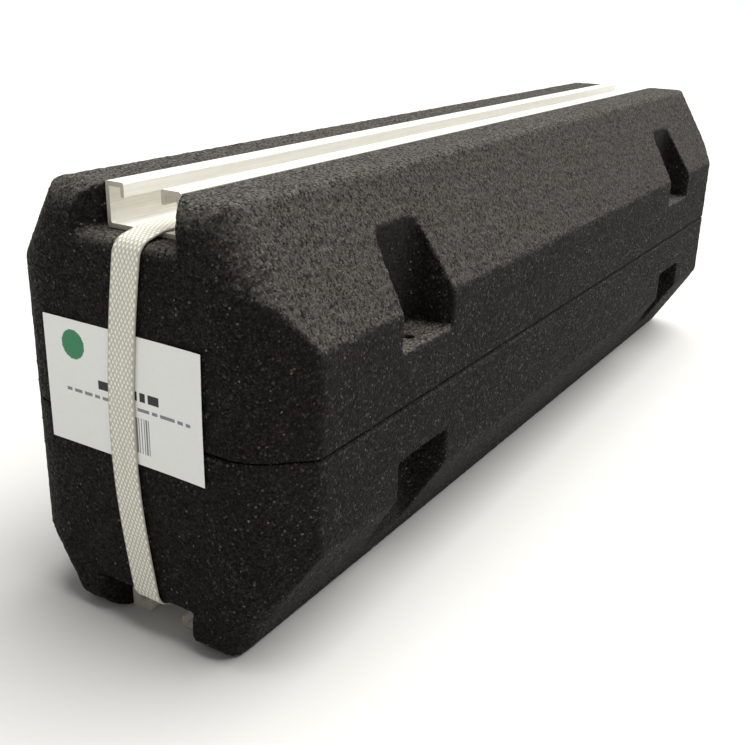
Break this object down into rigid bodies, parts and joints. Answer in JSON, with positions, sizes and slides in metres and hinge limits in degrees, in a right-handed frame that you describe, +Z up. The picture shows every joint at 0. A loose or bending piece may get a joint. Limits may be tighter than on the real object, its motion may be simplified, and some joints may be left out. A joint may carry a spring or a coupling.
{
  "type": "strapped pair of rubber floor supports",
  "caption": "Long rubber-granulate floor supports with slotted aluminium rails, strapped base to base with a flat plastic band.",
  "frame": {"origin": "centre of the footprint, on the surface that the pair stands on", "axes": "+X along the supports from the labelled end to the other end, +Y across them, +Z up from the lower support to the upper one"},
  "size_m": [0.6034, 0.16, 0.2],
  "materials": {
    "granulate_rubber": "near-black bonded rubber granulate, open grainy surface with sparse pale grey flecks",
    "rail_aluminium": "bright extruded aluminium with fine lengthwise die lines",
    "screw_steel": "zinc-plated steel",
    "strap_plastic": "cream polypropylene strapping with a fine embossed diamond pattern",
    "label_paper": null
  },
  "bodies": {
    "root": {"upper_block": "granulate_rubber", "lower_block": "granulate_rubber", "upper_rail": "rail_aluminium", "lower_rail": "rail_aluminium", "upper_rail_screw_near": "screw_steel", "upper_rail_screw_middle": "screw_steel", "upper_rail_screw_far": "screw_steel", "lower_rail_screw_near": "screw_steel", "lower_rail_screw_middle": "screw_steel", "lower_rail_screw_far": "screw_steel", "strap": "strap_plastic", "label": "label_paper"}
  },
  "joints": []
}
